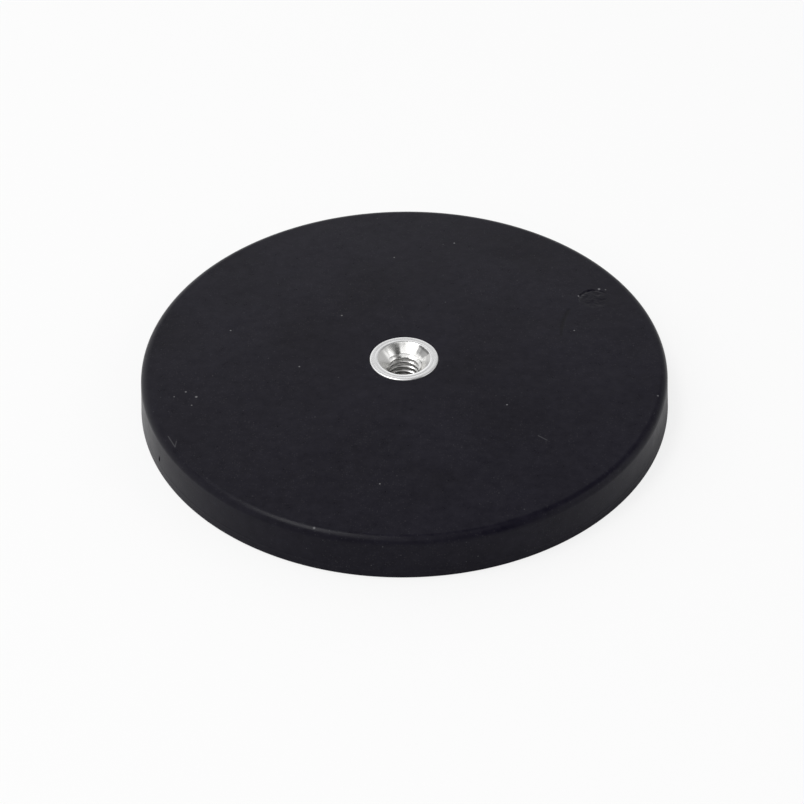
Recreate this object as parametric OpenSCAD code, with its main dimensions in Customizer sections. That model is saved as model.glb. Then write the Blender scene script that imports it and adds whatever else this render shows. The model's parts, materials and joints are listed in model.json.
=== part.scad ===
// Rubber-coated pot magnet with an internally threaded bush.
// The origin is the centre of the magnetic base face, and +Z is the thread's axis.
// The sizes run outward from the bush: two rings of magnets stand round it, the steel
// plate covers both rings, and the rubber covers the plate, 88 mm across and 7.5 mm high.

/* [Threaded bush] */
// Diameter of the bush's body, seen in the jacket's top
bush_d = 11.4; // [9.6:0.1:16]
// How far the foot of the bush reaches past its body, under the plate
foot_ledge = 1.8; // [0.8:0.1:4]
// Height of the bush's rim above the rubber
bush_proud = 0.1; // [0:0.05:1]
// Bevel on the rim's outer edge
bush_bevel = 0.2; // [0.05:0.05:0.4]
// Core diameter of the thread, which is the plain wall of the hole
thread_core_d = 5; // [3:0.1:6.8]
// Diameter of the 90 degree countersink at the rim
countersink_d = 8.7; // [7:0.1:8.8]

/* [Magnets] */
// Diameter of each disc magnet
magnet_d = 14; // [8:0.5:20]
// Thickness of each disc magnet
magnet_t = 3; // [1.5:0.1:6]
// Least space between neighbouring magnets, and between the magnets and the bush's foot
magnet_gap = 2.5; // [0.5:0.1:6]
// Magnets in the inner ring
inner_count = 6; // [3:1:10]
// Magnets in the outer ring
outer_count = 12; // [4:1:20]

/* [Steel plate] */
// Thickness of the steel plate
plate_t = 2; // [1:0.1:5]
// Plate left outside the outer ring of magnets
plate_margin = 0.5; // [0:0.1:4]

/* [Rubber jacket] */
// Rubber outside the rim of the steel plate
side_t = 3; // [2:0.1:8]
// Rubber skin below the magnets, on the magnetic face
skin_t = 0.6; // [0.4:0.1:1.5]
// Rubber above the steel plate
cover_t = 1.9; // [1:0.1:5]
// Lean of the side wall from upright, in degrees
wall_draft = 4.4; // [0:0.2:8]
// Radius of the top edge
top_edge_r = 1.4; // [0.4:0.1:2.2]
// Radius of the base edge
base_edge_r = 0.4; // [0.1:0.05:1]

/* [Moulding gate mark] */
// Diameter of the shallow recess left by the gate
gate_d = 6; // [2:0.5:10]
// Depth of the recess
gate_depth = 0.25; // [0.1:0.05:0.6]
// Distance from the jacket's outside to the centre of the recess
gate_inset = 7.7; // [6:0.1:16]
// Direction of the recess from +X, in degrees
gate_angle = 25.6; // [0:0.2:360]
// Diameter of the sprue nub left in the recess
nub_d = 1.2; // [0.4:0.1:2]
// Height of the nub above the recess floor
nub_h = 0.15; // [0.05:0.05:0.3]
// Distance of the nub outward from the centre of the recess
nub_offset = 1.5; // [0:0.1:1.8]

/* [Nick in the side wall] */
// Width of the nick along the wall
nick_w = 0.5; // [0.2:0.1:1.5]
// Height of the nick
nick_h = 1.3; // [0.6:0.1:3]
// Depth of the nick into the wall
nick_depth = 0.3; // [0.1:0.05:0.6]
// Height of the nick's middle above the base
nick_z = 2.9; // [1.5:0.1:4.5]
// Direction of the nick from +X, in degrees
nick_angle = 206; // [0:1:360]

/* [Fits] */
// Radial clearance around every piece that the rubber holds
fit_gap = 0.05; // [0.02:0.01:0.2]

/* [Hidden] */
$fn = 96;
// Depth by which a cutting shape runs past the face it opens
past = 1;

// A ring's radius clears what stands inside it and leaves each magnet its gap on both sides.
magnet_pitch = magnet_d + magnet_gap;
function ring_r(least_r, count) = max(least_r, magnet_pitch / (2 * sin(180 / count)));
foot_d = bush_d + 2 * foot_ledge;
inner_ring_r = ring_r(foot_d / 2 + magnet_gap + magnet_d / 2, inner_count);
outer_ring_r = ring_r(inner_ring_r + magnet_pitch, outer_count);

plate_r = outer_ring_r + magnet_d / 2 + plate_margin;
jacket_r = plate_r + side_t;
plate_z = skin_t + magnet_t;
jacket_h = plate_z + plate_t + cover_t;
bush_top = jacket_h + bush_proud;
countersink_depth = (countersink_d - thread_core_d) / 2;

// Centre of the base edge's arc, and of the top edge's arc tangent to the same leaning wall
base_arc = [jacket_r - base_edge_r, base_edge_r];
wall_rise = jacket_h - top_edge_r - base_edge_r;
arc_step = (top_edge_r - base_edge_r + wall_rise * sin(wall_draft)) / cos(wall_draft);
top_arc = [base_arc.x - arc_step, jacket_h - top_edge_r];
wall_out = [cos(wall_draft), sin(wall_draft)];
function wall_r(z) = jacket_r - (z - base_edge_r) * tan(wall_draft);

// Places its children at one step of a ring about the axis.
module ring_place(at_r, index, count) {
    rotate([0, 0, (index - 0.5) * 360 / count])
        translate([at_r, 0, skin_t])
            children();
}

// Half of the jacket's outer section: flat faces, a leaning wall and two true edge arcs.
module jacket_section() {
    polygon([
        [0, 0],
        [base_arc.x, 0],
        base_arc + base_edge_r * wall_out,
        top_arc + top_edge_r * wall_out,
        [top_arc.x, jacket_h],
        [0, jacket_h]
    ]);
    translate(base_arc) circle(r = base_edge_r);
    translate(top_arc) circle(r = top_edge_r);
}

// The space that the plate, the magnets and the bush take up inside the rubber.
module held_space() {
    translate([0, 0, plate_z]) cylinder(h = plate_t, r = plate_r + fit_gap);
    translate([0, 0, skin_t]) cylinder(h = magnet_t, d = foot_d + 2 * fit_gap);
    translate([0, 0, skin_t]) cylinder(h = jacket_h - skin_t + past, d = bush_d + 2 * fit_gap);
    for (i = [1:1:inner_count]) ring_place(inner_ring_r, i, inner_count)
        cylinder(h = magnet_t, d = magnet_d + 2 * fit_gap);
    for (i = [1:1:outer_count]) ring_place(outer_ring_r, i, outer_count)
        cylinder(h = magnet_t, d = magnet_d + 2 * fit_gap);
}

// Shallow round recess with the stub of the sprue standing in it.
module gate_mark() {
    rotate([0, 0, gate_angle]) translate([jacket_r - gate_inset, 0, jacket_h - gate_depth])
        difference() {
            cylinder(h = gate_depth + past, d = gate_d);
            translate([nub_offset, 0, -past]) cylinder(h = nub_h + past, d = nub_d);
        }
}

// Narrow scoop cut by a small upright disc that dips into the wall.
module nick() {
    disc_r = (pow(nick_h / 2, 2) + pow(nick_depth, 2)) / (2 * nick_depth);
    rotate([0, 0, nick_angle])
        translate([wall_r(nick_z) - nick_depth + disc_r, 0, nick_z])
            rotate([90, 0, 0]) cylinder(h = nick_w, r = disc_r, center = true);
}

module rubber_jacket() {
    color([0.11, 0.11, 0.12])
        difference() {
            rotate_extrude() jacket_section();
            held_space();
            gate_mark();
            nick();
        }
}

module steel_plate() {
    color([0.62, 0.63, 0.64])
        translate([0, 0, plate_z])
            difference() {
                cylinder(h = plate_t, r = plate_r);
                translate([0, 0, -past]) cylinder(h = plate_t + 2 * past, d = bush_d + 2 * fit_gap);
            }
}

module threaded_bush() {
    color([0.86, 0.85, 0.82])
        difference() {
            union() {
                translate([0, 0, skin_t]) cylinder(h = magnet_t, d = foot_d);
                translate([0, 0, skin_t]) cylinder(h = bush_top - bush_bevel - skin_t, d = bush_d);
                translate([0, 0, bush_top - bush_bevel])
                    cylinder(h = bush_bevel, d1 = bush_d, d2 = bush_d - 2 * bush_bevel);
            }
            translate([0, 0, skin_t - past])
                cylinder(h = bush_top - skin_t + 2 * past, d = thread_core_d);
            translate([0, 0, bush_top - countersink_depth])
                cylinder(h = countersink_depth + past, d1 = thread_core_d,
                         d2 = countersink_d + 2 * past);
        }
}

module magnet() {
    color([0.78, 0.77, 0.72]) cylinder(h = magnet_t, d = magnet_d);
}

rubber_jacket();
steel_plate();
threaded_bush();
for (i = [1:1:inner_count])
    ring_place(inner_ring_r, i, inner_count) magnet();
for (i = [1:1:outer_count])
    ring_place(outer_ring_r, i, outer_count) magnet();
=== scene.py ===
import json
import math

import bmesh
import bpy
from mathutils import Matrix, Vector, noise


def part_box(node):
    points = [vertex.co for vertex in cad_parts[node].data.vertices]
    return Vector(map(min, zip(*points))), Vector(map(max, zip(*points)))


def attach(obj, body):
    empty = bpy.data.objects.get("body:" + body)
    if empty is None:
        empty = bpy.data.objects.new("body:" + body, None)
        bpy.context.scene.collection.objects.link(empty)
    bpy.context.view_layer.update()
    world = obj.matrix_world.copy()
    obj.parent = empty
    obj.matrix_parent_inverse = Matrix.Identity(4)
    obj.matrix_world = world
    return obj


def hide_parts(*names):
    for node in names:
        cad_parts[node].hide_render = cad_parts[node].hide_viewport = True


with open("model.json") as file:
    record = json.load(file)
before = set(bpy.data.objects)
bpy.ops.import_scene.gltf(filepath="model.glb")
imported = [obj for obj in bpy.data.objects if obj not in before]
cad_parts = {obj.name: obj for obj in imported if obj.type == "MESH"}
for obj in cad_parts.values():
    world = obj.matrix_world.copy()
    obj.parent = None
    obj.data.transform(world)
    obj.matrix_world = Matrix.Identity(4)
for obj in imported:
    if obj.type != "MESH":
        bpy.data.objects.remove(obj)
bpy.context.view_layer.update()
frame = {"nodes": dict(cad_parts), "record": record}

# Rubber-coated pot magnet, seen from above its front. Lengths are in metres, so sizes are
# written in millimetres times MM. The jacket and the bush are modelled here in full detail
# over their CAD solids; the plate and the magnets inside keep their CAD shapes.
MM = 0.001

# ---------------------------------------------------------------- sizes from the frame
jacket_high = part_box("rubber_jacket")[1]
bush_low, bush_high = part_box("threaded_bush")
plate_low, plate_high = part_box("steel_plate")
thread_mount = next(m for m in frame["record"]["mounts"] if m["name"] == "thread")

JACKET_R = jacket_high[0]
JACKET_H = jacket_high[2]
PLATE_R = plate_high[0]
FOOT_R = bush_high[0]
CORE_R = thread_mount["dims"]["r_mm"] * MM
HELD_GAP = 0.05 * MM

# ---------------------------------------------------------------- sizes that the frame lacks
WALL_DRAFT = math.radians(4.4)
TOP_EDGE_R = 1.4 * MM
BASE_EDGE_R = 0.4 * MM
# The two mould halves meet in a fine step at this height on the wall.
PARTING_Z = 1.6 * MM
PARTING_RISE = 0.015 * MM
# Rounding of the rubber at the hole that the bush fills.
HOLE_LIP_R = 0.12 * MM

BUSH_R = 5.7 * MM
BUSH_BEVEL = 0.2 * MM
BORE_END_BEVEL = 0.25 * MM
# Radius of a shallow turned ring in the rim.
RIM_RING_R = 4.95 * MM
# Radius of the countersink at the rim, and how far its lip is bevelled to each side.
CONE_R = 4.35 * MM
BUSH_LIP = 0.06 * MM
THREAD_PITCH = 1.0 * MM
THREAD_OUTER_R = 3.0 * MM
# Direction in which the middle of the groove crosses the height where the cutter starts.
THREAD_START = math.radians(258)

GATE_R = 2.7 * MM
GATE_CENTRE_R = JACKET_R - 7.7 * MM
GATE_ANGLE = math.radians(25.6)
# Direction, of about unit length, from the middle of the gate mark to its deep side.
GATE_DEEP_SIDE = Vector((-0.47, 0.88))
# The trench along that side: its mean depth, and in mm the distance in from the gate mark's
# edge where it is deepest and how far it spreads from there.
TRENCH_DEPTH = 0.12 * MM
TRENCH_INSET_MM = 0.15
TRENCH_SPREAD_MM = 0.35
# Depth in mm of the torn floor, and of its broad and its fine unevenness.
TEAR_MM = 0.03
TEAR_BROAD_MM = 0.03
TEAR_FINE_MM = 0.02
# How far the gate mark's edge wanders, as a share of its radius.
EDGE_WANDER = 0.035
NUB_R = 0.6 * MM
NUB_H = 0.05 * MM
NUB_PLACE = Vector((1.1 * MM, 0.5 * MM))

NICK_ANGLE = math.radians(206)
NICK_Z = 2.9 * MM
NICK_TILT = math.radians(-14)
# Half of the nick's size in, along and up the wall, and how far its middle lies outside the wall.
NICK_HALF = (0.35 * MM, 0.26 * MM, 0.68 * MM)
NICK_OUT = 0.05 * MM

# Steps round the jacket, the bush and its hole, the gate mark and a magnet's pocket.
JACKET_SEGMENTS = 384
BUSH_SEGMENTS = 192
GATE_SEGMENTS = 132
POCKET_SEGMENTS = 64


# ---------------------------------------------------------------- mesh helpers
def arc(centre, radius, start_deg, end_deg, steps):
    """Points of an arc in the (radius, height) plane, from start to end."""
    points = []
    for i in range(steps + 1):
        a = math.radians(start_deg + (end_deg - start_deg) * i / steps)
        points.append((centre[0] + radius * math.cos(a), centre[1] + radius * math.sin(a)))
    return points


def lathe(bm, profile, segments, centre=(0.0, 0.0)):
    """Revolves (radius, height) points about an upright axis and returns the rings of vertices."""
    rings = []
    for radius, height in profile:
        if radius < 1e-7:
            rings.append([bm.verts.new((centre[0], centre[1], height))])
            continue
        ring = []
        for i in range(segments):
            a = 2 * math.pi * i / segments
            ring.append(bm.verts.new((centre[0] + radius * math.cos(a),
                                      centre[1] + radius * math.sin(a), height)))
        rings.append(ring)
    for low, high in zip(rings, rings[1:]):
        for i in range(segments):
            j = (i + 1) % segments
            if len(high) == 1:
                bm.faces.new((low[i], low[j], high[0]))
            elif len(low) == 1:
                bm.faces.new((low[0], high[j], high[i]))
            else:
                bm.faces.new((low[i], low[j], high[j], high[i]))
    return rings


def fill_flat(bm, *rings):
    """Fills the flat stretch between closed rings of vertices with triangles."""
    edges = []
    for ring in rings:
        for i, vert in enumerate(ring):
            after = ring[(i + 1) % len(ring)]
            edges.append(bm.edges.get((vert, after)) or bm.edges.new((vert, after)))
    bmesh.ops.triangle_fill(bm, use_beauty=True, use_dissolve=False, edges=edges)


def finish_mesh(bm, name, sharp_deg=32):
    """Turns bm into a smooth-shaded object whose steep edges stay sharp."""
    bmesh.ops.recalc_face_normals(bm, faces=bm.faces)
    mesh = bpy.data.meshes.new(name)
    bm.to_mesh(mesh)
    bm.free()
    mesh.shade_smooth()
    mesh.set_sharp_from_angle(angle=math.radians(sharp_deg))
    obj = bpy.data.objects.new(name, mesh)
    bpy.context.scene.collection.objects.link(obj)
    return obj


def cut_away(obj, cutter, sharp_deg=32):
    """Cuts the cutter's volume out of obj for good and deletes the cutter."""
    modifier = obj.modifiers.new("cut", "BOOLEAN")
    modifier.operation = "DIFFERENCE"
    modifier.solver = "EXACT"
    modifier.object = cutter
    depsgraph = bpy.context.evaluated_depsgraph_get()
    mesh = bpy.data.meshes.new_from_object(obj.evaluated_get(depsgraph))
    obj.modifiers.clear()
    old = obj.data
    obj.data = mesh
    mesh.name = obj.name
    bpy.data.meshes.remove(old)
    bpy.data.objects.remove(cutter)
    mesh.shade_smooth()
    mesh.set_sharp_from_angle(angle=math.radians(sharp_deg))


# ---------------------------------------------------------------- rubber jacket
def wall_radius(z):
    """Radius of the leaning side wall at a height."""
    return JACKET_R - (z - BASE_EDGE_R) * math.tan(WALL_DRAFT)


def jacket_outside():
    """Profile from the flat top over the top edge, the wall and the base edge to the axis."""
    rise = JACKET_H - TOP_EDGE_R - BASE_EDGE_R
    step = (TOP_EDGE_R - BASE_EDGE_R + rise * math.sin(WALL_DRAFT)) / math.cos(WALL_DRAFT)
    base_centre = (JACKET_R - BASE_EDGE_R, BASE_EDGE_R)
    top_centre = (base_centre[0] - step, JACKET_H - TOP_EDGE_R)
    draft = math.degrees(WALL_DRAFT)
    profile = [(top_centre[0] - 0.15 * MM, JACKET_H)]
    profile += arc(top_centre, TOP_EDGE_R, 90, draft, 22)
    # The step between the mould halves, each (mm above its crest, share of its rise).
    for above, proud in ((1.2, 0), (0.3, 0), (0.12, 0.1), (0.04, 0.6), (0, 1), (-0.04, 0.75),
                         (-0.12, 0.45), (-0.5, 0.15)):
        z = PARTING_Z + above * MM
        profile.append((wall_radius(z) - PARTING_RISE * (1 - proud), z))
    profile += arc(base_centre, BASE_EDGE_R, draft, -90, 12)
    profile += [(base_centre[0] - 0.2 * MM, 0), (JACKET_R * 0.5, 0), (0, 0)]
    return profile


def jacket_inside():
    """Profile from the flat top into the bush's hole and round the hollow for the plate."""
    hole_r = BUSH_R + HELD_GAP
    profile = [(hole_r + HOLE_LIP_R + 0.1 * MM, JACKET_H)]
    profile += arc((hole_r + HOLE_LIP_R, JACKET_H - HOLE_LIP_R), HOLE_LIP_R, 90, 180, 6)
    profile += [
        (hole_r, plate_high[2]),
        (PLATE_R + HELD_GAP, plate_high[2]),
        (PLATE_R + HELD_GAP, plate_low[2]),
        (FOOT_R + HELD_GAP, plate_low[2]),
        (FOOT_R + HELD_GAP, bush_low[2]),
        (0, bush_low[2]),
    ]
    return profile


def gate_depth(away, share):
    """Depth of the torn recess at a point, given from its centre; share is 1 on its floor."""
    spot = Vector((away.x, away.y, 0)) / MM
    lean = max(0.0, away.normalized().dot(GATE_DEEP_SIDE)) if away.length else 0.0
    from_edge = (GATE_R - away.length) / MM
    past = max(0.0, from_edge - TRENCH_INSET_MM) / TRENCH_SPREAD_MM
    trench = TRENCH_DEPTH * lean ** 1.5 * math.exp(-past ** 2)
    trench *= 1 + 0.8 * noise.noise(spot / 0.5)
    # Away from the deep side the floor rises to the flat without a lip.
    rise = lean + (1 - lean) * min(1.0, max(0.0, from_edge) / 0.8) ** 2
    tear = rise * (TEAR_MM + TEAR_BROAD_MM * noise.noise(spot / 1.2)
                   + TEAR_FINE_MM * noise.noise(spot / 0.5))
    nub = NUB_H * math.exp(-((away - NUB_PLACE).length / NUB_R) ** 2)
    return max(0.0, share * (trench + tear * MM - nub))


def gate_recess(bm):
    """Shallow torn recess that the sprue left; returns the ring that joins the flat top."""
    centre = Vector((GATE_CENTRE_R * math.cos(GATE_ANGLE), GATE_CENTRE_R * math.sin(GATE_ANGLE)))
    floor_r = GATE_R - 0.1 * MM
    floor_steps = 32
    # Each (radius, share of the depth there), from the flat top over the edge to the middle.
    profile = [(GATE_R + 0.2 * MM, 0), (GATE_R + 0.08 * MM, 0), (GATE_R + 0.04 * MM, 0.06),
               (GATE_R, 0.25), (GATE_R - 0.05 * MM, 0.75)]
    profile += [(floor_r * (1 - i / floor_steps), 1) for i in range(floor_steps + 1)]
    rings = lathe(bm, [(radius, JACKET_H) for radius, _ in profile], GATE_SEGMENTS, centre)
    for ring, (radius, share) in zip(rings, profile):
        for vert in ring:
            away = vert.co.xy - centre
            if 0 < share < 1 or radius > 0.5 * GATE_R and share:
                # The edge wanders a little.
                wander = noise.noise(away.to_3d().normalized() * 1.7)
                away *= 1 + EDGE_WANDER * wander * radius / GATE_R
                vert.co.xy = centre + away
            vert.co.z = JACKET_H - gate_depth(away, share)
    return rings[0]


def upright_cylinder(bm, x, y, radius, low, high):
    """Closed cylinder between two heights, about an upright axis through (x, y)."""
    profile = [(0, low), (radius, low), (radius, high), (0, high)]
    lathe(bm, profile, POCKET_SEGMENTS, (x, y))


def make_jacket():
    """The rubber with its gate mark and nick, hollow for the bush, the plate and the magnets."""
    bm = bmesh.new()
    outside = lathe(bm, jacket_outside(), JACKET_SEGMENTS)
    inside = lathe(bm, jacket_inside(), BUSH_SEGMENTS)
    fill_flat(bm, outside[0], inside[0], gate_recess(bm))
    jacket = finish_mesh(bm, "moulded_jacket")

    # Pockets for the magnets open into the hollow that the plate fills.
    bm = bmesh.new()
    for name in sorted(frame["nodes"]):
        if "magnet" in name:
            low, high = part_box(name)
            x, y = (low[0] + high[0]) / 2, (low[1] + high[1]) / 2
            radius = (high[0] - low[0]) / 2 + HELD_GAP
            upright_cylinder(bm, x, y, radius, low[2], high[2] + 0.5 * MM)
    cut_away(jacket, finish_mesh(bm, "pockets"))

    # A narrow nick, scooped out of the side wall and tilted a little.
    bm = bmesh.new()
    bmesh.ops.create_icosphere(bm, subdivisions=4, radius=1)
    place = (Matrix.Rotation(NICK_ANGLE, 4, "Z")
             @ Matrix.Translation((wall_radius(NICK_Z) + NICK_OUT, 0, NICK_Z))
             @ Matrix.Rotation(NICK_TILT, 4, "X"))
    bmesh.ops.transform(bm, matrix=place @ Matrix.Diagonal((*NICK_HALF, 1)), verts=bm.verts)
    cut_away(jacket, finish_mesh(bm, "nick"))
    return jacket


# ---------------------------------------------------------------- threaded bush
def bush_profile():
    """Profile of the bush without its thread: foot, body, rim, countersink and bore."""
    top = bush_high[2]
    low = bush_low[2]
    foot_top = plate_low[2]
    lip = BUSH_LIP
    cone_bottom = top - (CONE_R - CORE_R)
    profile = [
        (CORE_R + BORE_END_BEVEL, low),
        (FOOT_R - BUSH_BEVEL, low),
        (FOOT_R, low + BUSH_BEVEL),
        (FOOT_R, foot_top),
        (BUSH_R, foot_top),
    ]
    profile += arc((BUSH_R - BUSH_BEVEL, top - BUSH_BEVEL), BUSH_BEVEL, 0, 90, 8)
    # The turned ring in the rim, each (mm from its middle, mm of depth).
    for offset, depth in ((0.2, 0), (0.1, 0.008), (0.0, 0.013), (-0.1, 0.008), (-0.2, 0)):
        profile.append((RIM_RING_R + offset * MM, top - depth * MM))
    profile += [
        (CONE_R + lip, top),
        (CONE_R + lip * 0.3, top - lip * 0.3),
        (CONE_R - lip, top - lip),
        (CORE_R, cone_bottom),
        (CORE_R, low + BORE_END_BEVEL),
    ]
    return profile


def thread_cutter():
    """Helical ridge that cuts a right-hand groove with 60 degree flanks and a bevelled root."""
    bm = bmesh.new()
    turn_steps = 120
    # The ridge starts inside the open bore, and its flanks end just short of the root.
    inner_r = CORE_R - 0.12 * MM
    flank_r = THREAD_OUTER_R - 0.03 * MM
    flank_slope = math.tan(math.radians(30))
    # A groove with a flat root is an eighth of the pitch wide there.
    root_half = THREAD_PITCH / 16

    def half_width(radius):
        """Half of the ridge's width at a radius."""
        return root_half + (THREAD_OUTER_R - radius) * flank_slope

    section = [
        (inner_r, -half_width(inner_r)),
        (flank_r, -half_width(flank_r)),
        (THREAD_OUTER_R, -root_half * 0.5),
        (THREAD_OUTER_R, root_half * 0.5),
        (flank_r, half_width(flank_r)),
        (inner_r, half_width(inner_r)),
    ]
    start_z = bush_low[2] - THREAD_PITCH
    turns = (bush_high[2] - start_z) / THREAD_PITCH
    steps = int(turns * turn_steps)
    rings = []
    for i in range(steps + 1):
        a = THREAD_START + 2 * math.pi * i / turn_steps
        z = start_z + THREAD_PITCH * i / turn_steps
        rings.append([bm.verts.new((radius * math.cos(a), radius * math.sin(a), z + rise))
                      for radius, rise in section])
    count = len(section)
    for low, high in zip(rings, rings[1:]):
        for i in range(count):
            j = (i + 1) % count
            bm.faces.new((low[i], low[j], high[j], high[i]))
    bm.faces.new(rings[0])
    bm.faces.new(rings[-1])
    return finish_mesh(bm, "thread_cutter")


def make_bush():
    """The turned steel bush with its thread cut."""
    bm = bmesh.new()
    rings = lathe(bm, bush_profile(), BUSH_SEGMENTS)
    for i in range(BUSH_SEGMENTS):
        j = (i + 1) % BUSH_SEGMENTS
        bm.faces.new((rings[-1][i], rings[-1][j], rings[0][j], rings[0][i]))
    bush = finish_mesh(bm, "turned_bush", 28)
    cut_away(bush, thread_cutter(), 28)
    return bush


jacket = make_jacket()
bush = make_bush()
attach(jacket, "root")
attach(bush, "root")
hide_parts("rubber_jacket")
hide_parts("threaded_bush")

# ---------------------------------------------------------------- materials
def grey(level):
    """Opaque grey of one level."""
    return (level, level, level, 1)


class Nodes:
    """Builds one material's node tree; most calls return an output socket."""

    def __init__(self, name):
        self.material = bpy.data.materials.new(name)
        self.material.use_nodes = True
        self.tree = self.material.node_tree
        self.shader = self.tree.nodes["Principled BSDF"]
        coords = self.add("ShaderNodeTexCoord")
        # Object coordinates in millimetres.
        self.mm = self.vector("SCALE", coords.outputs["Object"], scale=1 / MM)

    def add(self, kind, **settings):
        """Adds a node and returns it."""
        node = self.tree.nodes.new(kind)
        for key, value in settings.items():
            setattr(node, key, value)
        return node

    def join(self, value, socket):
        """Links a socket or sets a plain value."""
        if isinstance(value, bpy.types.NodeSocket):
            self.tree.links.new(value, socket)
        else:
            socket.default_value = value

    def math(self, operation, a, b=None, c=None, clamp=False):
        """Works on one to three values, each a socket or a number."""
        node = self.add("ShaderNodeMath", operation=operation, use_clamp=clamp)
        for socket, value in zip(node.inputs, (a, b, c)):
            if value is not None:
                self.join(value, socket)
        return node.outputs[0]

    def vector(self, operation, a, b=None, scale=None):
        """Works on one or two vectors, or on a vector and a plain scale."""
        node = self.add("ShaderNodeVectorMath", operation=operation)
        self.join(a, node.inputs[0])
        if b is not None:
            self.join(b, node.inputs[1])
        if scale is not None:
            node.inputs["Scale"].default_value = scale
        gives_number = operation in ("DISTANCE", "DOT_PRODUCT")
        return node.outputs["Value" if gives_number else "Vector"]

    def noise(self, size_mm, detail=2.0, rough=0.5, offset=(0, 0, 0), stretch=(1, 1, 1)):
        """Noise about 0 to 1 whose features are about size_mm across."""
        place = self.add("ShaderNodeMapping")
        self.join(self.mm, place.inputs["Vector"])
        place.inputs["Location"].default_value = offset
        place.inputs["Scale"].default_value = stretch
        node = self.add("ShaderNodeTexNoise")
        self.join(place.outputs[0], node.inputs["Vector"])
        node.inputs["Scale"].default_value = 1 / size_mm
        node.inputs["Detail"].default_value = detail
        node.inputs["Roughness"].default_value = rough
        return node.outputs["Fac"]

    def noise_vector(self, size_mm):
        """Three unlike noises about 0 to 1 in one vector."""
        node = self.add("ShaderNodeTexNoise")
        self.join(self.mm, node.inputs["Vector"])
        node.inputs["Scale"].default_value = 1 / size_mm
        return node.outputs["Color"]

    def rings(self, along, size_mm, detail=2.0):
        """Noise that changes only along one coordinate, such as a lathe tool leaves."""
        node = self.add("ShaderNodeTexNoise", noise_dimensions="1D")
        self.join(along, node.inputs["W"])
        node.inputs["Scale"].default_value = 1 / size_mm
        node.inputs["Detail"].default_value = detail
        return node.outputs["Fac"]

    def spots(self, cell_mm, radius_mm, share, offset=(0, 0, 0)):
        """Mask of scattered round spots: one cell in every 1/share holds a spot."""
        place = self.add("ShaderNodeMapping")
        self.join(self.mm, place.inputs["Vector"])
        place.inputs["Location"].default_value = offset
        cells = self.add("ShaderNodeTexVoronoi")
        self.join(place.outputs[0], cells.inputs["Vector"])
        cells.inputs["Scale"].default_value = 1 / cell_mm
        chance = self.add("ShaderNodeSeparateColor")
        self.join(cells.outputs["Color"], chance.inputs[0])
        chosen = self.math("LESS_THAN", chance.outputs[0], share)
        radius = self.math("MULTIPLY_ADD", chance.outputs[1], radius_mm * 0.6, radius_mm * 0.4)
        distance = self.math("MULTIPLY", cells.outputs["Distance"], cell_mm)
        soft = self.ramp(self.math("DIVIDE", distance, radius), 1.0, 0.45)
        return self.math("MULTIPLY", soft, chosen)

    def ramp(self, value, low, high, to_low=0.0, to_high=1.0):
        """Maps low..high to to_low..to_high, held at both ends."""
        node = self.add("ShaderNodeMapRange")
        for name, number in (("Value", value), ("From Min", low), ("From Max", high),
                             ("To Min", to_low), ("To Max", to_high)):
            self.join(number, node.inputs[name])
        return node.outputs[0]

    def mix(self, factor, a, b):
        """Mixes two colours."""
        node = self.add("ShaderNodeMix", data_type="RGBA")
        self.join(factor, node.inputs["Factor"])
        self.join(a, node.inputs[6])
        self.join(b, node.inputs[7])
        return node.outputs[2]

    def near_line(self, start, end, width_mm):
        """Mask of a straight mark from start to end, which are (x, y, z) in mm."""
        whole = Vector(end) - Vector(start)
        towards = tuple(whole / whole.length)
        from_start = self.vector("SUBTRACT", self.mm, start)
        along = self.vector("DOT_PRODUCT", from_start, towards)
        held = self.math("MINIMUM", self.math("MAXIMUM", along, 0.0), whole.length)
        nearest = self.add("ShaderNodeVectorMath", operation="SCALE")
        nearest.inputs[0].default_value = towards
        self.join(held, nearest.inputs["Scale"])
        away = self.vector("DISTANCE", from_start, nearest.outputs[0])
        return self.ramp(away, width_mm / 2, width_mm / 8)

    def bump(self, height, distance_mm, normal=None):
        """Normal bent by a height of 0 to 1, which stands for distance_mm."""
        node = self.add("ShaderNodeBump")
        node.inputs["Strength"].default_value = 1
        node.inputs["Distance"].default_value = distance_mm * MM
        self.join(height, node.inputs["Height"])
        if normal is not None:
            self.join(normal, node.inputs["Normal"])
        return node.outputs[0]

    def set(self, **values):
        """Sets the shader's sockets, named with underscores for spaces."""
        for key, value in values.items():
            socket = self.shader.inputs[key.replace("_", " ")]
            if isinstance(value, tuple) and len(value) == 3 and socket.type == "RGBA":
                value = (*value, 1)
            self.join(value, socket)

    def give_to(self, obj):
        """Makes this the object's only material."""
        obj.data.materials.clear()
        obj.data.materials.append(self.material)

    def total(self, masks):
        """Adds up masks, held at 1."""
        result = masks[0]
        for mask in masks[1:]:
            result = self.math("ADD", result, mask, clamp=True)
        return result


# Colours of the rubber where it is dark and where it is pale, each for both ends of its mottling,
# and of what lies on it or marks it, with painted shade for the gate mark's recess and the crease.
RUBBER_DARK = ((0.0016, 0.0010, 0.0048, 1), (0.0047, 0.0039, 0.0087, 1))
RUBBER_PALE = ((0.0033, 0.0026, 0.0075, 1), (0.0075, 0.0066, 0.0126, 1))
DUST = (0.30, 0.30, 0.31, 1)
SCUFFED = (0.22, 0.22, 0.23, 1)
RECESS_SHADE = (0.0008, 0.0004, 0.003, 1)
CREASE_SHADE = (0.0008, 0.0006, 0.002, 1)

TOP_MM = JACKET_H / MM
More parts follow.
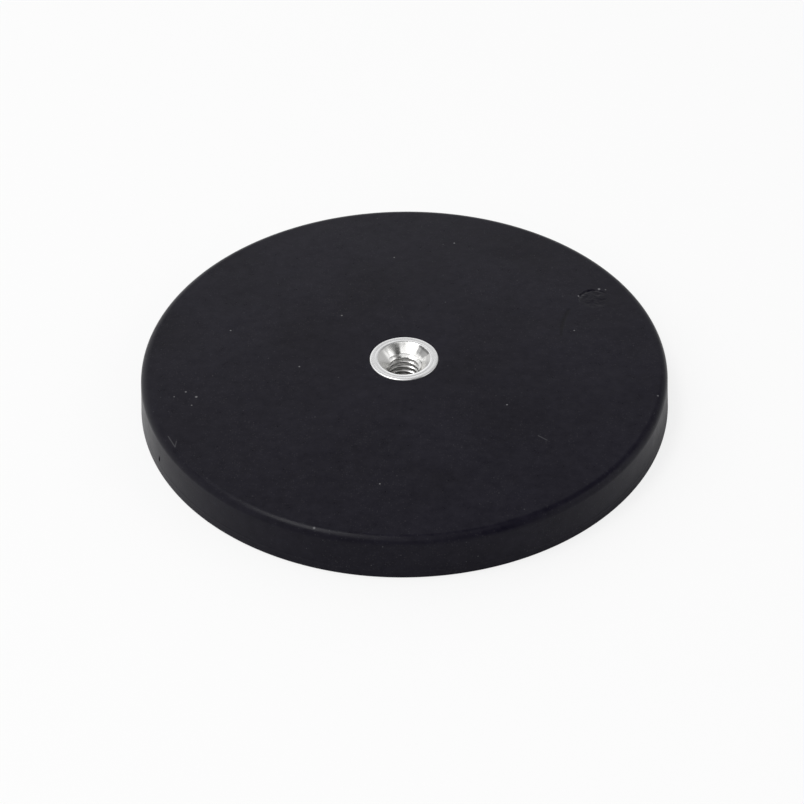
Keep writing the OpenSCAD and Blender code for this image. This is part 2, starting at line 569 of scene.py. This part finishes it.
# Broad paler and darker patches of the top, each (x, y, radius, strength) in mm.
BLOOMS = [
    (-19, 27, 14, 0.7), (-1, 32, 11, 0.7), (-28, 10, 12, 0.6), (16, 22, 10, 0.8),
    (25, 15.5, 9, 0.9), (31, -2, 10, 0.7), (5, 7, 7, 1.0), (-5, -9, 9, 0.5), (5, -20, 9, 0.6),
    (19, -37, 9, 0.5), (33, -25, 9, 0.5), (-5, 20, 11, -0.9), (-18, 7, 9, -0.6),
    (16, -15, 11, -0.9), (10, -4, 7, -0.7), (21, 34, 11, -1.0), (-30, 30, 8, -0.6),
    (-41, 8, 9, -0.7), (5, -31, 8, -0.5),
]
# Single specks of dust, each (x, y, z, radius) in mm.
DUST_SPECKS = [
    (-35.6, -8.0, TOP_MM, 0.2), (-33.8, -9.3, TOP_MM, 0.26), (-34.4, -11.4, TOP_MM, 0.16),
    (-37.4, -9.2, TOP_MM, 0.14), (41.0, -10.4, TOP_MM, 0.18), (9.2, 32.6, TOP_MM, 0.2),
    (16.5, -12.2, TOP_MM, 0.18), (28.7, 7.0, TOP_MM, 0.17), (-13.9, -40.4, TOP_MM - 0.13, 0.24),
    (-10.5, 11.9, TOP_MM, 0.19), (-17.3, -1.8, TOP_MM, 0.18), (-29.2, 8.1, TOP_MM, 0.18),
    (-4.0, -30.8, TOP_MM, 0.18), (-1.5, 28.5, TOP_MM, 0.16),
    (33.8, 18.5, TOP_MM, 0.28), (34.9, 18.3, TOP_MM, 0.15), (30.15, 16.6, TOP_MM, 0.22),
]
# Scuffs, and a shallow crease with painted shade along it that runs forward from the gate mark, in
# stretches that are each (start, end, width) in mm.
SCUFFS = [
    ((21.1, -19.9, TOP_MM), (22.4, -21.0, TOP_MM), 0.3),
    ((-37.6, -19.0, TOP_MM), (-36.3, -21.6, TOP_MM), 0.28),
    ((-36.2, -20.2, TOP_MM), (-36.3, -21.6, TOP_MM), 0.22),
]
CREASES = [
    ((28.1, 12.6, TOP_MM), (27.2, 10.2, TOP_MM), 1.1),
    ((27.2, 10.2, TOP_MM), (26.7, 8.0, TOP_MM), 0.9),
    ((26.7, 8.0, TOP_MM), (26.4, 5.7, TOP_MM), 0.7),
]
GATE_MIDDLE = (GATE_CENTRE_R * math.cos(GATE_ANGLE) / MM,
               GATE_CENTRE_R * math.sin(GATE_ANGLE) / MM, TOP_MM)


def rubber_material():
    """Matt black moulded rubber: mottled and fine-grained, with specks of dust and scuffs."""
    n = Nodes("black_rubber")
    mottle = n.noise(13, detail=3, rough=0.55)
    cloud = n.noise(1.8, detail=4, rough=0.8, offset=(31, 7, 3))
    grain = n.noise(0.22, detail=2, rough=0.7)
    dark = n.mix(n.ramp(cloud, 0.35, 0.65), *RUBBER_DARK)
    pale = n.mix(n.ramp(cloud, 0.35, 0.65), *RUBBER_PALE)
    # Broad patches with wavy edges make the top paler or darker.
    paleness = n.ramp(mottle, 0.35, 0.65, 0.2, 0.8)
    waves = n.vector("SUBTRACT", n.noise_vector(6), (0.5,) * 3)
    warped = n.vector("ADD", n.mm, n.vector("SCALE", waves, scale=5))
    for x, y, radius, strength in BLOOMS:
        near = n.ramp(n.vector("DISTANCE", warped, (x, y, TOP_MM)), radius, 0, 0, strength)
        near.node.interpolation_type = "SMOOTHSTEP"
        paleness = n.math("ADD", paleness, near)
    colour = n.mix(n.math("MINIMUM", n.math("MAXIMUM", paleness, -0.3), 1.6), dark, pale)

    # Faint flecks and finer dust, mostly in patches, and single brighter specks.
    dusty = n.ramp(n.noise(11, offset=(9, 2, 6)), 0.4, 0.62, 0.1, 0.6)
    flecks = n.math("MULTIPLY", n.spots(0.36, 0.16, dusty, offset=(3, 17, 5)), 0.07)
    dust = n.math("MULTIPLY", n.spots(0.9, 0.15, n.math("MULTIPLY", dusty, 0.08)), 0.3)
    fine = n.spots(0.6, 0.11, n.math("MULTIPLY", dusty, 0.3), offset=(5, 11, 2))
    fine_dust = n.math("MULTIPLY", fine, 0.25)
    placed = [
        n.ramp(n.vector("DISTANCE", n.mm, (x, y, z)), radius, radius * 0.4)
        for x, y, z, radius in DUST_SPECKS
    ]
    scuffs = [n.near_line(*scuff) for scuff in SCUFFS]
    dusted = n.total([flecks, dust, fine_dust] + placed)
    colour = n.mix(n.math("MULTIPLY", dusted, 0.5), colour, DUST)
    colour = n.mix(n.math("MULTIPLY", n.total(scuffs), 0.16), colour, SCUFFED)

    # The gate mark's torn floor and the crease in front of it are painted darker, as shade in the
    # recess and the crease.
    torn = n.ramp(n.vector("DISTANCE", n.mm, GATE_MIDDLE), 2.8, 2.3)
    colour = n.mix(n.math("MULTIPLY", torn, 0.25), colour, RECESS_SHADE)
    crease_and_shade = n.total([n.near_line(*crease) for crease in CREASES])
    colour = n.mix(n.math("MULTIPLY", crease_and_shade, 0.6), colour, CREASE_SHADE)

    rough = n.math("ADD", n.ramp(cloud, 0.3, 0.7, 0.27, 0.35), n.math("MULTIPLY", dusted, 0.3))
    height = n.math("ADD", n.math("MULTIPLY", grain, 0.6), n.math("MULTIPLY", cloud, 0.9))
    height = n.math("SUBTRACT", height, crease_and_shade)
    normal = n.bump(height, 0.014)
    normal = n.bump(mottle, 0.12, normal)
    n.set(Base_Color=colour, Roughness=rough, Specular_IOR_Level=0.125, Normal=normal)
    return n


# Colours of the plated steel where it is faced and where it is turned, and of the painted shade
# deep in its bore.
FACED_STEEL = (0.92, 0.92, 0.925)
TURNED_STEEL = (0.87, 0.865, 0.85)
BORE_SHADE = (0.22, 0.21, 0.19, 1)


def turned_coordinate(n):
    """Distance from the axis in mm, and a coordinate that runs along the turned profile."""
    parts = n.add("ShaderNodeSeparateXYZ")
    n.join(n.mm, parts.inputs[0])
    x, y, z = parts.outputs
    radius = n.math("SQRT", n.math("ADD", n.math("MULTIPLY", x, x), n.math("MULTIPLY", y, y)))
    return radius, n.math("ADD", radius, z)


def plated_steel(name, bright, fine_mm, fine_depth_mm):
    """Bright plated steel with fine turned rings, for more detail to be added.

    Gives its nodes, the distance from the axis, an unevenness for the roughness and the colour.
    """
    n = Nodes(name)
    radius, along = turned_coordinate(n)
    tint = n.noise(2.5, detail=2)
    dimmer = [0.93 * part for part in bright]
    colour = n.mix(n.ramp(tint, 0.35, 0.65), (*bright, 1), (*dimmer, 1))
    broad = n.rings(along, 0.4)
    n.set(Metallic=1.0, Normal=n.bump(n.rings(along, fine_mm, detail=3), fine_depth_mm))
    return n, radius, n.ramp(broad, 0.3, 0.7, -0.03, 0.03), colour


def faced_material():
    """The rim and outside of the bush: faced smooth, with a satin sheen."""
    n, _, uneven, colour = plated_steel("plated_bush_faced", FACED_STEEL, 0.12, 0.0012)
    n.set(Base_Color=colour, Roughness=n.math("ADD", uneven, 0.27))
    return n


def cone_point(azimuth, radius_mm):
    """Point in mm on the countersink."""
    a = math.radians(azimuth)
    return (radius_mm * math.cos(a), radius_mm * math.sin(a),
            bush_high[2] / MM - (CONE_R / MM - radius_mm))


# Height in mm at which the countersink ends at the bore.
THREAD_TOP_MM = (bush_high[2] - CONE_R + CORE_R) / MM
# Direction from the axis to the middle of the patch of painted shade on the countersink.
SHADE_PATCH_SIDE = (math.cos(math.radians(34)), math.sin(math.radians(34)))
# Two marks of painted shade at the countersink's lip and its foot, each (start, end, width) in mm.
LIP_SHADE_MARK = (cone_point(49, 4.25), cone_point(18, 4.25), 0.6)
FOOT_SHADE_MARK = (cone_point(36, 2.78), cone_point(9, 2.9), 0.5)


def turned_material():
    """The countersink and the thread: their turning marks spread light across them."""
    n, radius, uneven, colour = plated_steel("plated_bush_turned", TURNED_STEEL, 0.14, 0.0022)
    parts = n.add("ShaderNodeSeparateXYZ")
    n.join(n.mm, parts.inputs[0])
    x, y, z = parts.outputs
    # The roots of the thread are painted darker deep in the bore, as shade.
    in_bore = n.ramp(z, THREAD_TOP_MM - 1.2, THREAD_TOP_MM - 3)
    root = n.math("MULTIPLY", n.ramp(radius, 2.7, 3.0), in_bore)
    colour = n.mix(n.math("MULTIPLY", root, 0.6), colour, BORE_SHADE)
    # A patch with a ragged edge inside the lip on the back right is painted darker, as shade.
    side = n.math("ADD", n.math("MULTIPLY", x, SHADE_PATCH_SIDE[0]), n.math("MULTIPLY", y, SHADE_PATCH_SIDE[1]))
    ragged = n.math("MULTIPLY", n.math("SUBTRACT", n.noise(0.6, detail=3), 0.5), 0.9)
    facing = n.math("ADD", n.math("DIVIDE", side, radius), n.math("MULTIPLY", ragged, 0.12))
    outer = n.ramp(n.math("ADD", radius, ragged), 3.15, 3.45)
    shade_patch = n.math("MULTIPLY", n.ramp(facing, 0.94, 0.965), outer)
    colour = n.mix(n.math("MULTIPLY", shade_patch, 0.8), colour, grey(0.24))
    # Beside that patch, the lip on the right is painted darker as well, as shade.
    lip = n.ramp(n.math("MULTIPLY_ADD", ragged, 0.6, radius), 3.45, 3.85)
    lip = n.math("MULTIPLY", lip, n.ramp(n.math("DIVIDE", x, radius), 0.78, 0.92))
    beside = n.math("MULTIPLY", lip, n.math("SUBTRACT", 1, shade_patch))
    colour = n.mix(n.math("MULTIPLY", beside, 0.6), colour, grey(0.28))
    # The two marks at the lip and the foot are painted shade.
    shade_marks = n.total([n.near_line(*LIP_SHADE_MARK), n.near_line(*FOOT_SHADE_MARK)])
    colour = n.mix(n.math("MULTIPLY", shade_marks, 0.8), colour, grey(0.1))
    # The tap leaves the thread duller than the countersink.
    rough = n.ramp(z, THREAD_TOP_MM + 0.05, THREAD_TOP_MM - 0.15, 0.17, 0.3)
    n.set(Base_Color=colour, Roughness=n.math("ADD", uneven, rough), Anisotropic=0.9,
          Anisotropic_Rotation=0.25)
    tangent = n.add("ShaderNodeTangent", direction_type="RADIAL", axis="Z")
    n.join(tangent.outputs[0], n.shader.inputs["Tangent"])
    return n


def plate_material():
    """Cold-rolled steel plate: grey, faintly streaked along the rolling direction."""
    n = Nodes("plate_steel")
    streaks = n.noise(0.8, detail=3, stretch=(0.06, 1, 1))
    patches = n.noise(14, detail=3)
    colour = n.mix(n.ramp(patches, 0.35, 0.65), (0.50, 0.51, 0.52, 1), grey(0.6))
    n.set(Base_Color=colour, Metallic=1.0, Roughness=n.ramp(streaks, 0.3, 0.7, 0.32, 0.48),
          Normal=n.bump(streaks, 0.01))
    return n


def magnet_material():
    """Nickel-plated sintered magnet: bright, faintly yellow, with a fine tumbled texture."""
    n = Nodes("magnet_nickel")
    grain = n.noise(0.3, detail=3)
    haze = n.noise(5, detail=2)
    colour = n.mix(n.ramp(haze, 0.35, 0.65), (0.72, 0.69, 0.62, 1), (0.66, 0.63, 0.57, 1))
    n.set(Base_Color=colour, Metallic=1.0, Roughness=n.ramp(haze, 0.3, 0.7, 0.16, 0.26),
          Normal=n.bump(grain, 0.004))
    return n


rubber_material().give_to(jacket)
faced_material().give_to(bush)
bush.data.materials.append(turned_material().material)
# The countersink and the bore have the turned finish, and the rest has the faced one.
for face in bush.data.polygons:
    inside = face.center.xy.length < CONE_R + BUSH_LIP * 0.6
    face.material_index = 1 if inside else 0
plate_material().give_to(frame["nodes"]["steel_plate"])
magnets = magnet_material()
for name, node in frame["nodes"].items():
    if "magnet" in name:
        magnets.give_to(node)

# ---------------------------------------------------------------- floor, light and camera
FLOOR_HALF = 3.0
# Colour of the floor, darkest and palest, and where a shadow on it is seen.
PAPER = (grey(0.79), grey(0.81))
PAPER_SEEN = grey(0.82)
# Share of the floor's whiteness that a shadow can take away, for the eye and in reflections.
FLOOR_SHADOW = 0.2
MIRRORED_SHADOW = 1.0

# Light of the walls and of the room above them, and the elevations in degrees between which
# the walls end.
WALL_LIGHT = 1.1
ROOM_LIGHT = 0.26
WALL_TOP = (28, 52)
# The dark gap at the front right: its middle azimuth, the angles from there between which its
# sides fade, the elevations between which it starts above the table and ends, and its light.
GAP_AZIMUTH = 311
GAP_EDGES = (9, 17)
TABLE_TOP = (6, 12)
GAP_TOP = (55, 68)
GAP_LIGHT = 0.07
# The dimmer stretch of the wall at the back right, given like the gap, and the share of light
# it keeps.
SIDE_AZIMUTH = 46
SIDE_EDGES = (14, 36)
SIDE_SHARE = 0.3
# Sines of the azimuths between which the front of the wall grows dim, and the share of light
# it keeps.
FRONT_EDGES = (-0.95, -0.6)
FRONT_SHARE = 0.45
LIGHT_DISTANCE = 1.0

# The camera: its lens on a 36 mm sensor, its height as an angle, its distance and roll, and how
# far it stands to the left of and below the line through the origin.
LENS = 92.7
ELEVATION = math.radians(39.96)
DISTANCE = 347.9 * MM
ROLL = math.radians(-0.675)
AIM_LEFT = 0.41 * MM
AIM_BELOW = 1.456 * MM


def pale_floor():
    """White paper: it keeps a soft shadow, and shows white to the camera and in reflections."""
    bm = bmesh.new()
    bmesh.ops.create_grid(bm, x_segments=1, y_segments=1, size=FLOOR_HALF)
    floor = finish_mesh(bm, "floor")
    n = Nodes("white_paper")
    grain = n.noise(1.5, detail=3)
    n.set(Base_Color=n.mix(grain, *PAPER), Roughness=0.9, Specular_IOR_Level=0.2)
    # What the eye and reflections see is white but for the shadow's share.
    path = n.add("ShaderNodeLightPath").outputs
    mirrored = n.math("MAXIMUM", path["Is Glossy Ray"], path["Is Transmission Ray"])
    seen = n.math("MAXIMUM", path["Is Camera Ray"], mirrored)
    shaded = n.ramp(mirrored, 0, 1, FLOOR_SHADOW, MIRRORED_SHADOW)
    seen_part = n.add("ShaderNodeBsdfDiffuse")
    n.join(n.mix(shaded, grey(0), PAPER_SEEN), seen_part.inputs["Color"])
    glow = n.add("ShaderNodeEmission")
    n.join(n.math("SUBTRACT", 1, shaded), glow.inputs["Strength"])
    both = n.add("ShaderNodeAddShader")
    n.join(seen_part.outputs[0], both.inputs[0])
    n.join(glow.outputs[0], both.inputs[1])
    choose = n.add("ShaderNodeMixShader")
    n.join(seen, choose.inputs[0])
    n.join(n.shader.outputs[0], choose.inputs[1])
    n.join(both.outputs[0], choose.inputs[2])
    n.join(choose.outputs[0], n.tree.nodes["Material Output"].inputs["Surface"])
    n.give_to(floor)


def direction(azimuth, elevation):
    """Unit vector at these angles in degrees; azimuth 0 is +X and 90 is +Y."""
    a, e = math.radians(azimuth), math.radians(elevation)
    return Vector((math.cos(e) * math.cos(a), math.cos(e) * math.sin(a), math.sin(e)))


def studio_world():
    """White walls round a table, dimmer at the front and the back right, under a dim room.

    A dark gap at the front right parts the walls.
    """
    world = bpy.data.worlds.new("studio")
    bpy.context.scene.world = world
    world.use_nodes = True
    tree = world.node_tree

    def fade(value, low, high, to_low, to_high):
        """Turns smoothly from to_low to to_high as the value goes from low to high."""
        node = tree.nodes.new("ShaderNodeMapRange")
        node.interpolation_type = "SMOOTHSTEP"
        for name, number in (("From Min", low), ("From Max", high),
                             ("To Min", to_low), ("To Max", to_high)):
            node.inputs[name].default_value = number
        tree.links.new(value, node.inputs["Value"])
        return node.outputs[0]

    def math_node(operation, a, b):
        """Works on two values, each a socket or a number."""
        node = tree.nodes.new("ShaderNodeMath")
        node.operation = operation
        for socket, value in zip(node.inputs, (a, b)):
            if isinstance(value, bpy.types.NodeSocket):
                tree.links.new(value, socket)
            else:
                socket.default_value = value
        return node.outputs[0]

    coords = tree.nodes.new("ShaderNodeTexCoord")
    parts = tree.nodes.new("ShaderNodeSeparateXYZ")
    tree.links.new(coords.outputs["Generated"], parts.inputs[0])
    x, y, z = parts.outputs
    # Length of the direction's level part, a little over 0 straight up.
    across = math_node("SQRT", math_node("SUBTRACT", 1.0001, math_node("MULTIPLY", z, z)), 0)

    def by_elevation(edges, to_low, to_high):
        """Turns from to_low to to_high between two elevations."""
        low, high = (math.sin(math.radians(angle)) for angle in edges)
        return fade(z, low, high, to_low, to_high)

    def round_azimuth(azimuth, edges):
        """1 near an azimuth, fading to 0 between two angles from it."""
        towards = direction(azimuth, 0)
        along_x = math_node("MULTIPLY", x, towards.x)
        along_y = math_node("MULTIPLY", y, towards.y)
        cosine = math_node("DIVIDE", math_node("ADD", along_x, along_y), across)
        edge_in, edge_out = (math.cos(math.radians(angle)) for angle in edges)
        return fade(cosine, edge_out, edge_in, 0, 1)

    wall = by_elevation(WALL_TOP, 1, 0)
    # The camera stands at the front, where the wall is dimmer.
    front = fade(math_node("DIVIDE", y, across), *FRONT_EDGES, FRONT_SHARE, 1)
    dimmed = math_node("MULTIPLY", round_azimuth(SIDE_AZIMUTH, SIDE_EDGES), 1 - SIDE_SHARE)
    side = math_node("SUBTRACT", 1, dimmed)
    share = math_node("MULTIPLY", math_node("MULTIPLY", wall, front), side)
    light = math_node("ADD", math_node("MULTIPLY", share, WALL_LIGHT - ROOM_LIGHT), ROOM_LIGHT)
    # The gap is closed at its sides, down at the table and up at the ceiling.
    beside = math_node("SUBTRACT", 1, round_azimuth(GAP_AZIMUTH, GAP_EDGES))
    table = by_elevation(TABLE_TOP, 1, 0)
    over = by_elevation(GAP_TOP, 0, 1)
    closed = math_node("MAXIMUM", beside, math_node("MAXIMUM", table, over))
    light = math_node("SUBTRACT", light, GAP_LIGHT)
    light = math_node("ADD", math_node("MULTIPLY", light, closed), GAP_LIGHT)
    tree.links.new(light, tree.nodes["Background"].inputs["Strength"])
    tree.nodes["Background"].inputs["Color"].default_value = (1, 1, 1, 1)


def softbox(name, azimuth, elevation, half_width, half_height, brightness, turn=0.0):
    """Rectangular light aimed at the magnet and turned about that aim, in degrees.

    Its half sizes are angles as seen from the magnet, and a brightness of 1 is white.
    """
    data = bpy.data.lights.new(name, "AREA")
    data.shape = "RECTANGLE"
    data.size = 2 * LIGHT_DISTANCE * math.tan(math.radians(half_width))
    data.size_y = 2 * LIGHT_DISTANCE * math.tan(math.radians(half_height))
    data.energy = brightness * math.pi * data.size * data.size_y
    light = bpy.data.objects.new(name, data)
    light.visible_camera = False
    bpy.context.scene.collection.objects.link(light)
    towards = direction(azimuth, elevation)
    light.location = towards * LIGHT_DISTANCE
    aimed = towards.to_track_quat("Z", "Y").to_matrix()
    light.rotation_euler = (aimed @ Matrix.Rotation(math.radians(turn), 3, "Z")).to_euler()


def photo_camera():
    """Camera at the photograph's viewing angle."""
    data = bpy.data.cameras.new("camera")
    data.sensor_width = 36
    data.lens = LENS
    data.clip_start = 0.01
    camera = bpy.data.objects.new("camera", data)
    bpy.context.scene.collection.objects.link(camera)
    bpy.context.scene.camera = camera
    back = Vector((0, -math.cos(ELEVATION), math.sin(ELEVATION)))
    side = Vector((1, 0, 0))
    up = Vector((0, math.sin(ELEVATION), math.cos(ELEVATION)))
    right = side * math.cos(ROLL) + up * math.sin(ROLL)
    top = up * math.cos(ROLL) - side * math.sin(ROLL)
    camera.matrix_world = Matrix((right, top, back)).transposed().to_4x4()
    camera.location = back * DISTANCE - right * AIM_LEFT - top * AIM_BELOW


pale_floor()
studio_world()
# Each light's azimuth, elevation, half width and half height in degrees, and its brightness.
softbox("key_softbox", 189, 69, 19, 7.5, 5.8, turn=-34)
softbox("soft_glow", 203, 60, 22, 20, 0.85)
softbox("back_glow", 130, 56, 18, 9, 1.0)
softbox("front_glow", 264, 53, 18, 11, 1.0)
softbox("right_glow", 349, 38, 10, 9, 0.7)
softbox("top_glow", 310, 80, 12, 12, 0.75)
photo_camera()
bpy.context.scene.view_settings.view_transform = "Standard"
